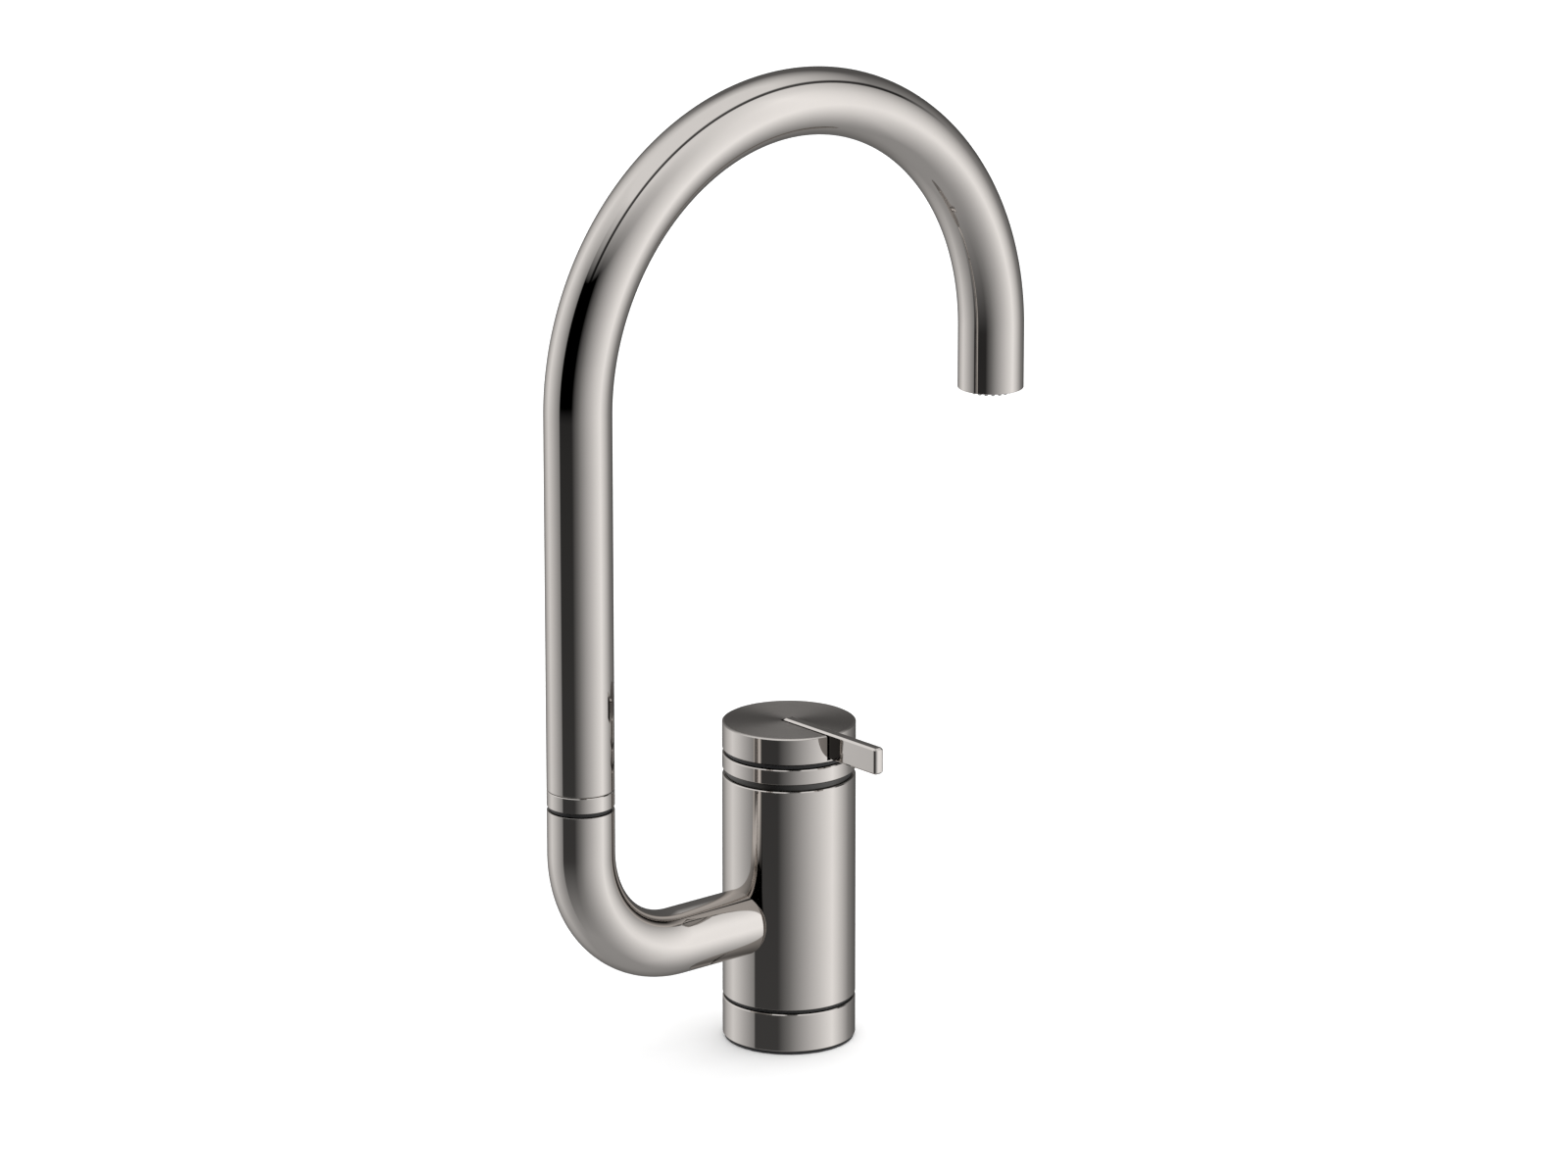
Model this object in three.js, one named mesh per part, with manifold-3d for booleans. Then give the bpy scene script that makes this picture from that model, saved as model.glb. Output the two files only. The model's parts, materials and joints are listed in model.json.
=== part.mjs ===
// A pull down kitchen faucet: a round body with a lever in its turning cap, a side arm, and a
// gooseneck spout that swivels on the arm and holds a concealed sprayhead in its outlet.
// Millimetres, +Z up. The origin is the centre of the base on the deck. The lever points to -Y and
// the side arm to -X, and the spout arches over the body to its outlet on +X.
import * as THREE from "three";
import { mergeVertices } from "three/addons/utils/BufferGeometryUtils.js";
import Module from "manifold-3d";

const wasm = await Module();
wasm.setup();

// ---- Driving dimensions -------------------------------------------------------------------------
const TUBE_R = 14.3; // the spout and arm are 28.6 mm tube
const BODY_R = 2 * TUBE_R; // the body is twice as wide
const OFFSET = 115; // from the body axis to the swivel axis, and the radius of the arch
const ARCH_Z = 296; // where the arch springs from its two straight legs
const OUTLET_Z = 268.7; // the outlet rim
const ARM_Z = 56.7; // axis of the side arm
const ELBOW_R = 50.6; // bend of the elbow's centre line
const ELBOW_TOP_Z = 126.2; // top edge of the elbow, under the swivel gap
const COLLAR_BOTTOM_Z = 128;
const COLLAR_TOP_Z = 134.9;
const SPOUT_BOTTOM_Z = 135.2;
const RING_Z = [1.4, 18.3]; // base ring
const HOUSING_Z = [19.9, 118.2]; // body housing
const TRIM_Z = [121.1, 127.9]; // trim ring over the bonnet
const CAP_Z = [129.9, 141.7]; // turning cap
const LEVER_TIP_Y = -58.5;
const LEVER_HEEL_Y = 0.7;
const LEVER_HALF = 2.5; // half the blade's thickness
const LEVER_Z = [131.2, 142.7];
const PIVOT = { y: -8, z: 139.2 }; // lever pivot, across the cap under its top
const LINK = { y: -0.9, z: 135 }; // the lever's drive pin in the valve stem's fork
const TUBE_WALL = 1.3;
const ARM_WALL = 1.9;
const ARM_END_X = -26.5; // the arm's end, inside the housing
const BEVEL = 0.4; // small turned edge on the bright rings
const CORE_R = 24.8; // the inner parts that the body's rings fit over
const RING_BORE_R = CORE_R + 0.4; // bore of the rings and of the housing
const GAP = 0.3; // between pieces that touch
const HOSE_R = 4.6;
const HOSE_BEND_R = 37; // four hose diameters
const HOSE_X = -9; // where the hose leaves through the foot
const SWIVEL_SWEEP = 90; // degrees each way from the middle
const FINE = 40; // facets round the body
const ROUND = 24; // facets round the tubes
const INNER = 16; // facets round inner pieces

// ---- Materials ----------------------------------------------------------------------------------
function finish(color, metalness, roughness) {
  return new THREE.MeshStandardMaterial({ color, metalness, roughness });
}
const NICKEL = finish(0x8d8883, 1, 0.12);
const BRASS = finish(0xb08d4f, 1, 0.35);
const STEEL = finish(0xa8a8a6, 1, 0.3);
const COPPER = finish(0xb87350, 1, 0.35);
const RUBBER = finish(0x1b1b1c, 0, 0.8);
const GREY_RUBBER = finish(0x909090, 0, 0.7);
const ACETAL = finish(0x141415, 0, 0.5);
const SLEEVE = finish(0xd9d6cc, 0, 0.5);
const MAGNET = finish(0x3a3a3c, 0.3, 0.6);
const HOSE = finish(0x4a4a4c, 0, 0.7);

const faucet = new THREE.Group();
faucet.name = "faucet";

function place(name, geometry, material) {
  const mesh = new THREE.Mesh(geometry, material);
  mesh.name = name;
  faucet.add(mesh);
}

// ---- Shape helpers ------------------------------------------------------------------------------
// A closed mesh as a solid that can be joined and cut.
function toSolid(geometry) {
  const bare = geometry.index ? geometry.toNonIndexed() : geometry.clone();
  bare.deleteAttribute("normal");
  bare.deleteAttribute("uv");
  const merged = mergeVertices(bare, 1e-4);
  return new wasm.Manifold(
    new wasm.Mesh({
      numProp: 3,
      vertProperties: merged.attributes.position.array,
      triVerts: new Uint32Array(merged.index.array),
    }),
  );
}

function toGeometry(solid) {
  const mesh = solid.getMesh();
  const geometry = new THREE.BufferGeometry();
  geometry.setAttribute("position", new THREE.BufferAttribute(mesh.vertProperties, 3));
  geometry.setIndex(new THREE.BufferAttribute(mesh.triVerts, 1));
  geometry.computeVertexNormals();
  return geometry;
}

// A profile of [radius, z] points turned about an upright axis at x, running up the outside first.
function turn(points, x = 0, facets = INNER) {
  const profile = points.map(([r, z]) => new THREE.Vector2(r, z));
  const lathe = new THREE.LatheGeometry(profile, facets);
  return lathe.rotateX(Math.PI / 2).translate(x, 0, 0);
}

// A turned ring: its profile closes on itself.
function ring(points, x, facets) {
  return turn([...points, points[0]], x, facets);
}

// A plain ring between two radii and two heights.
function band(inner, outer, low, high, x, facets) {
  return ring([[inner, low], [outer, low], [outer, high], [inner, high]], x, facets);
}

// A plain ring whose outer edges are bevelled.
function bevelledBand(inner, outer, low, high, x, facets) {
  const points = [
    [inner, low],
    [outer - BEVEL, low],
    [outer, low + BEVEL],
    [outer, high - BEVEL],
    [outer - BEVEL, high],
    [inner, high],
  ];
  return ring(points, x, facets);
}

// An upright rod that can be used as a pin or as a cutter.
function rod(radius, low, high, x, y, facets = INNER) {
  const shape = new THREE.CylinderGeometry(radius, radius, high - low, facets);
  return shape.rotateX(Math.PI / 2).translate(x, y, (low + high) / 2);
}

// A rod along X, centred on x = 0.
function crossRod(radius, length, y, z, facets = INNER) {
  const shape = new THREE.CylinderGeometry(radius, radius, length, facets);
  return shape.rotateZ(Math.PI / 2).translate(0, y, z);
}

function box(x, y, z) {
  const shape = new THREE.BoxGeometry(x[1] - x[0], y[1] - y[0], z[1] - z[0]);
  return shape.translate((x[0] + x[1]) / 2, (y[0] + y[1]) / 2, (z[0] + z[1]) / 2);
}

function cut(geometry, ...cutters) {
  return toGeometry(cutters.reduce((solid, c) => solid.subtract(toSolid(c)), toSolid(geometry)));
}

function join(geometry, ...others) {
  return toGeometry(others.reduce((solid, o) => solid.add(toSolid(o)), toSolid(geometry)));
}

function point(x, z) {
  return new THREE.Vector3(x, 0, z);
}

// A circular bend in the XZ plane, from one angle to another in degrees.
class Bend extends THREE.Curve {
  constructor(x, z, radius, from, to) {
    super();
    Object.assign(this, { x, z, radius, from, to });
  }

  getPoint(t, target = new THREE.Vector3()) {
    const a = THREE.MathUtils.degToRad(this.from + (this.to - this.from) * t);
    return target.set(this.x + this.radius * Math.cos(a), 0, this.z + this.radius * Math.sin(a));
  }
}

function route(...curves) {
  const path = new THREE.CurvePath();
  curves.forEach((curve) => path.add(curve));
  return path;
}

// A circular section swept along a route, hollow when it has an inner radius. A full circle takes
// two facets for each curve segment.
function pipe(path, outer, inner, steps, sides = ROUND) {
  const section = new THREE.Shape().absarc(0, 0, outer, 0, 2 * Math.PI);
  if (inner) section.holes.push(new THREE.Path().absarc(0, 0, inner, 0, 2 * Math.PI));
  return new THREE.ExtrudeGeometry(section, { steps, curveSegments: sides / 2, extrudePath: path });
}

// ---- Base and body ------------------------------------------------------------------------------
const BOSS_R = 17; // the foot's boss, inside the gasket
const FOOT_TOP_Z = 16;
const GASKET_TOP_Z = 1.1;
const HOSE_HOLE_R = 6.4;
const PIPE_R = 3.9;
const PIPE_BORE_R = 2.6;
const PIPES = { hot_pipe: [5.5, -10.5], cold_pipe: [5.5, 10.5], mixed_pipe: [12.4, 0] };
const TIE_Y = 21;
const TIE_R = 1.9;
const TIE_HEAD_R = 3.1;
const TIE_HEAD_Z = [1.6, 4.1];
const VALVE_Z = [72, 103.8];
const VALVE_R = 24.6;
const VALVE_BORE_R = 16.4;
const VALVE_FLOOR = 4; // thickness under the valve body's bore

function base() {
  place("base_gasket", band(BOSS_R + 0.6, BODY_R - 0.7, 0, GASKET_TOP_Z, 0, FINE), RUBBER);
  place("base_ring", bevelledBand(RING_BORE_R, BODY_R, ...RING_Z, 0, FINE), NICKEL);
  const spacerZ = [RING_Z[1] + 0.2, HOUSING_Z[0] - 0.1];
  place("base_spacer", band(RING_BORE_R, BODY_R - 1.2, ...spacerZ, 0, FINE), ACETAL);
}

function mountingFoot() {
  const stepZ = RING_Z[0];
  const foot = turn([
    [0, 0], [BOSS_R, 0], [BOSS_R, stepZ], [CORE_R, stepZ], [CORE_R, FOOT_TOP_Z], [0, FOOT_TOP_Z],
  ]);
  const through = [-1, FOOT_TOP_Z + 1];
  const holes = [rod(HOSE_HOLE_R, ...through, HOSE_X, 0)];
  Object.values(PIPES).forEach(([x, y]) => holes.push(rod(PIPE_R + GAP, ...through, x, y)));
  [-TIE_Y, TIE_Y].forEach((y) => {
    holes.push(rod(TIE_R + GAP, ...through, 0, y));
    holes.push(rod(TIE_HEAD_R + 0.4, -1, TIE_HEAD_Z[1] + GAP, 0, y));
  });
  place("mounting_foot", cut(foot, ...holes), BRASS);
}

function tieScrew(name, y) {
  const head = rod(TIE_HEAD_R, ...TIE_HEAD_Z, 0, y, 12);
  const shank = rod(TIE_R, TIE_HEAD_Z[1] - GAP, VALVE_Z[0] + 9, 0, y, 12);
  place(name, join(head, shank), STEEL);
}

function housing() {
  const shell = bevelledBand(RING_BORE_R, BODY_R, ...HOUSING_Z, 0, FINE);
  const armHole = rod(TUBE_R + GAP, -BODY_R - 5, -15, 0, 0, ROUND);
  armHole.rotateY(Math.PI / 2).translate(0, 0, ARM_Z);
  place("body_housing", cut(shell, armHole), NICKEL);
}

function sideArm() {
  const elbowX = -OFFSET + ELBOW_R;
  const elbowZ = ARM_Z + ELBOW_R;
  const path = route(
    new THREE.LineCurve3(point(ARM_END_X, ARM_Z), point(elbowX, ARM_Z)),
    new Bend(elbowX, elbowZ, ELBOW_R, 270, 180),
    new THREE.LineCurve3(point(-OFFSET, elbowZ), point(-OFFSET, ELBOW_TOP_Z)),
  );
  place("side_arm", pipe(path, TUBE_R, TUBE_R - ARM_WALL, 14), NICKEL);
}

function valveBody() {
  const [low, high] = VALVE_Z;
  const floor = low + VALVE_FLOOR;
  const cup = turn([
    [0, low], [VALVE_R, low], [VALVE_R, high], [VALVE_BORE_R, high], [VALVE_BORE_R, floor], [0, floor],
  ]);
  const ports = Object.values(PIPES).map(([x, y]) => rod(PIPE_BORE_R, low - 1, low + 6, x, y, 12));
  const ties = [-TIE_Y, TIE_Y].map((y) => rod(TIE_R + GAP, low - 1, low + 10, 0, y, 12));
  place("valve_body", cut(cup, ...ports, ...ties), BRASS);
}

function supplyPipes() {
  Object.entries(PIPES).forEach(([name, [x, y]]) => {
    const tube = band(PIPE_BORE_R, PIPE_R, 1.5, VALVE_Z[0] - GAP, 0, 12);
    place(name, tube.translate(x, y, 0), COPPER);
  });
}

// ---- Cartridge, stem and bonnet -----------------------------------------------------------------
const STEM_R = 4;
const PISTON_R = 8.2;
const PISTON_BORE_R = 9;
const SLEEVE_R = 16;
const SLEEVE_Z = [77.4, 114];
const NECK_R = 12.5; // the sleeve's neck, which the nut clamps round
const NUT_BORE_R = 12.8;
const NUT_HEX_R = 19;
const SEAL_GROOVE_R = 6.4;

function cartridge() {
  const [low, high] = SLEEVE_Z;
  const shoulderZ = 97.5;
  const ceilingZ = 101;
  const sleeve = [
    [PISTON_BORE_R, low], [SLEEVE_R, low], [SLEEVE_R, shoulderZ], [NECK_R, shoulderZ],
    [NECK_R, high], [STEM_R + GAP, high], [STEM_R + GAP, ceilingZ], [PISTON_BORE_R, ceilingZ],
  ];
  place("cartridge_sleeve", ring(sleeve), SLEEVE);
  place("cartridge_seal", band(PISTON_BORE_R, SLEEVE_R - GAP, 76.1, 77.2), RUBBER);
  const nut = band(NUT_BORE_R, SLEEVE_R + 0.1, shoulderZ + GAP, 105);
  const hexagon = band(NUT_BORE_R, NUT_HEX_R, 104.2, 110, 0, 6);
  const clear = rod(NUT_BORE_R, 97, 111, 0, 0);
  place("cartridge_nut", cut(join(nut, hexagon), clear), BRASS);
}

// The spool turns and slides in the sleeve. Its fork takes the lever's heel and the link pin.
function valveStem() {
  const spool = turn([
    [0, 81], [PISTON_R, 81],
    [PISTON_R, 83], [SEAL_GROOVE_R, 83], [SEAL_GROOVE_R, 85.2], [PISTON_R, 85.2],
    [PISTON_R, 91], [SEAL_GROOVE_R, 91], [SEAL_GROOVE_R, 93.2], [PISTON_R, 93.2],
    [PISTON_R, 95.5], [STEM_R, 95.5], [STEM_R, 129], [0, 129],
  ]);
  const head = box([-5, 5], [-5.8, 3.2], [127, 137]);
  const bladeSlot = box([-LEVER_HALF - GAP, LEVER_HALF + GAP], [-8, 8], [129, 138]);
  const pinSlot = box([-6, 6], [LINK.y - 3.8, LINK.y + 1.7], [LINK.z - 1.4, LINK.z + 1.4]);
  place("valve_stem", cut(join(spool, head), bladeSlot, pinSlot), STEEL);
  const seal = [SEAL_GROOVE_R + 0.2, PISTON_R + 0.4];
  place("piston_seal_lower", band(...seal, 83.2, 85), RUBBER);
  place("piston_seal_upper", band(...seal, 91.2, 93), RUBBER);
}

function bonnet() {
  const floorZ = 118.35;
  const topZ = 120.95;
  const flangeR = BODY_R - 1.6;
  const shape = [
    [19.8, 104.5], [CORE_R, 104.5], [CORE_R, floorZ], [flangeR, floorZ],
    [flangeR, topZ], [23.4, topZ], [23.4, floorZ + 0.25], [19.8, floorZ + 0.25],
  ];
  place("bonnet", ring(shape, 0, FINE), MAGNET);
  place("trim_ring", bevelledBand(RING_BORE_R, BODY_R, ...TRIM_Z, 0, FINE), NICKEL);
}

// A bush for the cap's skirt, with a flange that carries the cap's rim.
function glideRing() {
  const bore = SKIRT_R + 0.4;
  const flangeR = BODY_R - 1.3;
  const flangeZ = TRIM_Z[1] + 0.2;
  const topZ = CAP_Z[0] - GAP;
  const glide = [
    [bore, 121.7], [CORE_R, 121.7], [CORE_R, flangeZ],
    [flangeR, flangeZ], [flangeR, topZ], [bore, topZ],
  ];
  place("glide_ring", ring(glide, 0, FINE), ACETAL);
}

// ---- Handle -------------------------------------------------------------------------------------
const CAP_TOP = 3; // thickness of the cap's top
const CAP_BORE_R = 25.4;
const SKIRT_R = 21;
const SKIRT_BORE_R = 18.8;
const SKIRT_Z = 119.4;
const CLIP_GROOVE_Z = [120.2, 121.3];
const CLIP_GROOVE_R = 20.2;
const SLOT_HALF = 3.2;
const SLOT_END_Y = 2;
const SLOT_FLOOR_Z = CAP_Z[0] + 0.9;
const EAR_X = 7.2;
const PIN_R = 1.1;

function handleCap() {
  const [low, high] = CAP_Z;
  const under = high - CAP_TOP;
  const shell = turn([
    [0, under], [SKIRT_BORE_R, under], [SKIRT_BORE_R, SKIRT_Z], [SKIRT_R, SKIRT_Z],
    [SKIRT_R, CLIP_GROOVE_Z[0]], [CLIP_GROOVE_R, CLIP_GROOVE_Z[0]],
    [CLIP_GROOVE_R, CLIP_GROOVE_Z[1]], [SKIRT_R, CLIP_GROOVE_Z[1]],
    [SKIRT_R, under], [CAP_BORE_R, under], [CAP_BORE_R, low],
    [BODY_R - BEVEL, low], [BODY_R, low + BEVEL], [BODY_R, high - BEVEL], [BODY_R - BEVEL, high],
    [0, high],
  ], 0, FINE);
  const ear = (x) => box(x, [PIVOT.y - 3, PIVOT.y + 1.9], [PIVOT.z - 3.4, under + 0.5]);
  const solid = join(shell, ear([-EAR_X, -SLOT_HALF]), ear([SLOT_HALF, EAR_X]));
  const slot = box([-SLOT_HALF, SLOT_HALF], [-BODY_R - 1, SLOT_END_Y], [SLOT_FLOOR_Z, high + 1]);
  const pinHole = crossRod(PIN_R + 0.2, 2 * EAR_X, PIVOT.y, PIVOT.z);
  place("handle_cap", cut(solid, slot, pinHole), NICKEL);
  place("cap_circlip", band(20.35, 22.6, 120.35, 121.15, 0, FINE), STEEL);
  place("lever_pivot_pin", crossRod(PIN_R, 13.8, PIVOT.y, PIVOT.z), STEEL);
}

function lever() {
  const outline = new THREE.Shape();
  const corner = 1.5;
  const tipY = LEVER_TIP_Y + corner;
  outline.moveTo(-LEVER_HALF, LEVER_HEEL_Y);
  outline.lineTo(-LEVER_HALF, tipY);
  outline.absarc(-LEVER_HALF + corner, tipY, corner, Math.PI, 1.5 * Math.PI, false);
  outline.absarc(LEVER_HALF - corner, tipY, corner, 1.5 * Math.PI, 2 * Math.PI, false);
  outline.lineTo(LEVER_HALF, LEVER_HEEL_Y);
  const depth = LEVER_Z[1] - LEVER_Z[0];
  const plate = new THREE.ExtrudeGeometry(outline, { depth, bevelEnabled: false, curveSegments: 4 });
  plate.translate(0, 0, LEVER_Z[0]);
  const pivotHole = crossRod(PIN_R + 0.2, 8, PIVOT.y, PIVOT.z, 12);
  const linkHole = crossRod(PIN_R + 0.15, 8, LINK.y, LINK.z, 12);
  place("lever_blade", cut(plate, pivotHole, linkHole), NICKEL);
  place("link_pin", crossRod(PIN_R, 9.4, LINK.y, LINK.z, 12), STEEL);
}

function pivotWasher(name, x) {
  const washer = band(PIN_R + 0.25, 1.9, -0.25, 0.25);
  washer.rotateY(Math.PI / 2).translate(x, PIVOT.y, PIVOT.z);
  place(name, washer, ACETAL);
}

// ---- Swivel -------------------------------------------------------------------------------------
const SPIGOT_R = 9.8;
const SPIGOT_FOOT_R = 12.1; // brazed into the top of the elbow
const SPIGOT_FOOT_Z = 111;
const SPIGOT_TOP_Z = 168;
const SPIGOT_BORE_R = 6.6;
const INSERT_BORE_R = 11;
const INSERT_R = 12.8;
const SEAL_Z = [149.6, 156.6]; // the bottoms of the two seal grooves
const SEAL_H = 2.4;
const CLIP_Z = 163.9;
const CLIP_H = 1.4;
const STOP_Z = 131.5;
const STOP_DEPTH = 1.7;
const STOP_H = 3.6;

// The groove's floor runs between two shoulders, which stop the spout at the ends of its sweep.
function stopGroove() {
  const half = THREE.MathUtils.degToRad(SWIVEL_SWEEP + 12);
  const middle = Math.PI / 2;
  const sector = new THREE.Shape();
  sector.absarc(0, 0, SPIGOT_R + 2, middle - half, middle + half, false);
  sector.absarc(0, 0, SPIGOT_R - STOP_DEPTH, middle + half, middle - half, true);
  const options = { depth: STOP_H, bevelEnabled: false, curveSegments: ROUND };
  return new THREE.ExtrudeGeometry(sector, options).translate(-OFFSET, 0, STOP_Z - STOP_H / 2);
}

function spigot() {
  const shoulderZ = ELBOW_TOP_Z - 0.2;
  const outside = [
    [SPIGOT_BORE_R, SPIGOT_FOOT_Z], [SPIGOT_FOOT_R, SPIGOT_FOOT_Z],
    [SPIGOT_FOOT_R, shoulderZ], [SPIGOT_R, shoulderZ],
  ];
  const groove = (floorR, z, height) => {
    outside.push([SPIGOT_R, z], [floorR, z], [floorR, z + height], [SPIGOT_R, z + height]);
  };
  SEAL_Z.forEach((z) => groove(8.4, z, SEAL_H));
  groove(8.6, CLIP_Z, CLIP_H);
  outside.push([SPIGOT_R, SPIGOT_TOP_Z], [SPIGOT_BORE_R, SPIGOT_TOP_Z]);
  place("swivel_spigot", cut(ring(outside, -OFFSET), stopGroove()), BRASS);
}

function spigotRings() {
  const washerZ = [ELBOW_TOP_Z + 0.15, COLLAR_BOTTOM_Z - 0.15];
  place("bearing_washer", band(SPIGOT_R + GAP, 13.2, ...washerZ, -OFFSET), ACETAL);
  ["swivel_seal_lower", "swivel_seal_upper"].forEach((name, i) => {
    place(name, band(8.6, 10.6, SEAL_Z[i] + 0.2, SEAL_Z[i] + 2.2, -OFFSET), RUBBER);
  });
  place("spigot_circlip", band(8.8, 12.2, CLIP_Z + 0.2, CLIP_Z + 1.2, -OFFSET), STEEL);
}

// A rod along +Y at the height of the stop screw.
function stopRod(radius, from, to) {
  return rod(radius, from, to, 0, 0, 12).rotateX(-Math.PI / 2).translate(-OFFSET, 0, STOP_Z);
}

function swivelCollar() {
  const screwHole = stopRod(1.9, 0, 20);
  const collar = bevelledBand(13.1, TUBE_R, COLLAR_BOTTOM_Z, COLLAR_TOP_Z, -OFFSET, ROUND);
  place("swivel_collar", cut(collar, screwHole), NICKEL);
  const insert = band(INSERT_BORE_R, INSERT_R, COLLAR_BOTTOM_Z + 0.2, CLIP_Z - 0.2, -OFFSET);
  place("spout_insert", cut(insert, screwHole), BRASS);
  place("swivel_bush", band(10.05, 10.75, 137, 148.6, -OFFSET), ACETAL);
  place("spout_stop_screw", stopRod(1.5, 8.5, 14), STEEL);
}

// ---- Spout and sprayhead ------------------------------------------------------------------------
function gooseneck() {
  const path = route(
    new THREE.LineCurve3(point(-OFFSET, SPOUT_BOTTOM_Z), point(-OFFSET, ARCH_Z)),
    new Bend(0, ARCH_Z, OFFSET, 180, 0),
    new THREE.LineCurve3(point(OFFSET, ARCH_Z), point(OFFSET, OUTLET_Z)),
  );
  place("gooseneck_tube", pipe(path, TUBE_R, TUBE_R - TUBE_WALL, 28), NICKEL);
  place("dock_sleeve", band(12.1, 12.7, 272, 295.8, OFFSET), ACETAL);
  place("dock_magnet", band(9.2, 12.3, 296.3, 300, OFFSET), MAGNET);
}

const HEAD_R = 11.8;
const HEAD_BORE_R = 10.4;
const HEAD_BOTTOM_Z = 269.2;
const HEAD_NECK_R = 8.6;
const HEAD_NECK_BORE_R = 7.2;
const HEAD_NECK_Z = 295.6;
const HEAD_TOP_Z = 303.9;
const FACE_Z = [269.4, 272.4];
const FACE_R = 10.2;
const TIP_COUNT = 20;
const TIP_RING_R = 9.4;
const TIP_R = 0.8;
const TIP_END_Z = 267;
const CENTRE_HOLE_R = 3;
const BALL_R = 5;
const BALL_Z = 299.5;
const BALL_BORE_R = 1.8;
const BALL_STEM_R = 3.1;

function sprayFace() {
  const [low, high] = FACE_Z;
  const plate = turn([[0, low], [FACE_R, low], [FACE_R, high], [0, high]]);
  const tips = [];
  for (let i = 0; i < TIP_COUNT; i += 1) {
    const a = (2 * Math.PI * i) / TIP_COUNT;
    tips.push(rod(TIP_R, TIP_END_Z, 270, TIP_RING_R * Math.cos(a), TIP_RING_R * Math.sin(a), 6));
  }
  const hole = rod(CENTRE_HOLE_R, low - 1, high + 1, 0, 0, 12);
  place("spray_face", cut(join(plate, ...tips), hole).translate(OFFSET, 0, 0), GREY_RUBBER);
}

function headShell() {
  const ledgeZ = HEAD_NECK_Z - 1.4;
  const shell = [
    [HEAD_BORE_R, HEAD_BOTTOM_Z], [HEAD_R, HEAD_BOTTOM_Z], [HEAD_R, HEAD_NECK_Z - 1.2],
    [HEAD_R - 1.2, HEAD_NECK_Z], [HEAD_NECK_R, HEAD_NECK_Z], [HEAD_NECK_R, HEAD_TOP_Z],
    [HEAD_NECK_BORE_R, HEAD_TOP_Z], [HEAD_NECK_BORE_R, ledgeZ], [HEAD_BORE_R, ledgeZ],
  ];
  place("sprayhead_shell", ring(shell, OFFSET), NICKEL);
}

function headInside() {
  place("face_seal", band(8, 10.1, 272.6, 273.6, OFFSET), RUBBER);
  place("flow_screen", band(1, 10, 273.8, 274.6, OFFSET), STEEL);
  place("check_valve", band(2.5, HEAD_NECK_BORE_R, 275.5, 287.5, OFFSET), SLEEVE);
  place("head_magnet_ring", band(7.5, 10.1, 289, 293.8, OFFSET), STEEL);
}

// The hose ends in a ball that sits under the nut, so that the sprayhead can tilt.
function hoseEnd() {
  place("hose_nut", band(3.4, 8.2, 304.2, 311, OFFSET), BRASS);
  const ball = [[BALL_BORE_R, 294.9]];
  for (let a = -66; a <= 50; a += 29) {
    const t = THREE.MathUtils.degToRad(a);
    ball.push([BALL_R * Math.cos(t), BALL_Z + BALL_R * Math.sin(t)]);
  }
  ball.push([BALL_STEM_R, 316.2], [BALL_BORE_R, 316.2]);
  place("hose_ball", ring(ball, OFFSET), BRASS);
  place("hose_ferrule", band(5.2, 6.2, 311.4, 319, OFFSET), STEEL);
}

// ---- Hose ---------------------------------------------------------------------------------------
// One hose runs from the sprayhead through the spout, the swivel, the arm and the foot. It is two
// solids that meet at the swivel, because the upper one turns with the spout.
const HOSE_START_Z = 316.6;
const HOSE_SPLIT_Z = 147;
const HOSE_SAG = [28, 50, 75, 105, 130, 155]; // where the hose crosses the arch's centre line

function upperHose() {
  const onArch = (a) => new Bend(0, ARCH_Z, OFFSET, a, 180).getPoint(0);
  const path = new THREE.CatmullRomCurve3([
    point(OFFSET, HOSE_START_Z),
    point(OFFSET, 324),
    ...HOSE_SAG.map(onArch),
    point(-OFFSET, ARCH_Z),
    point(-OFFSET, 240),
    point(-OFFSET, 190),
    point(-OFFSET, HOSE_SPLIT_Z + GAP),
  ], false, "centripetal");
  place("hose_in_spout", pipe(path, HOSE_R, 0, 30, 10), HOSE);
}

function lowerHose() {
  const elbowX = -OFFSET + ELBOW_R;
  const elbowZ = ARM_Z + ELBOW_R;
  const bendX = HOSE_X - HOSE_BEND_R;
  const bendZ = ARM_Z - HOSE_BEND_R;
  const path = route(
    new THREE.LineCurve3(point(-OFFSET, HOSE_SPLIT_Z), point(-OFFSET, elbowZ)),
    new Bend(elbowX, elbowZ, ELBOW_R, 180, 270),
    new THREE.LineCurve3(point(elbowX, ARM_Z), point(bendX, ARM_Z)),
    new Bend(bendX, bendZ, HOSE_BEND_R, 90, 0),
  );
  place("hose_in_arm", pipe(path, HOSE_R, 0, 20, 10), HOSE);
  const top = bendZ - GAP;
  const connector = turn([[0, 1.6], [5.9, 1.6], [5.9, 10], [HOSE_R, 12], [HOSE_R, top], [0, top]]);
  place("hose_connector", connector.translate(HOSE_X, 0, 0), BRASS);
}

base();
mountingFoot();
tieScrew("tie_screw_front", -TIE_Y);
tieScrew("tie_screw_back", TIE_Y);
housing();
sideArm();
valveBody();
supplyPipes();
cartridge();
valveStem();
bonnet();
glideRing();
handleCap();
lever();
pivotWasher("pivot_washer_left", -2.85);
pivotWasher("pivot_washer_right", 2.85);
spigot();
spigotRings();
swivelCollar();
gooseneck();
headShell();
sprayFace();
headInside();
hoseEnd();
upperHose();
lowerHose();

export default faucet;
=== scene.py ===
import json
import math

import bmesh
import bpy
from mathutils import Matrix, Vector


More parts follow.
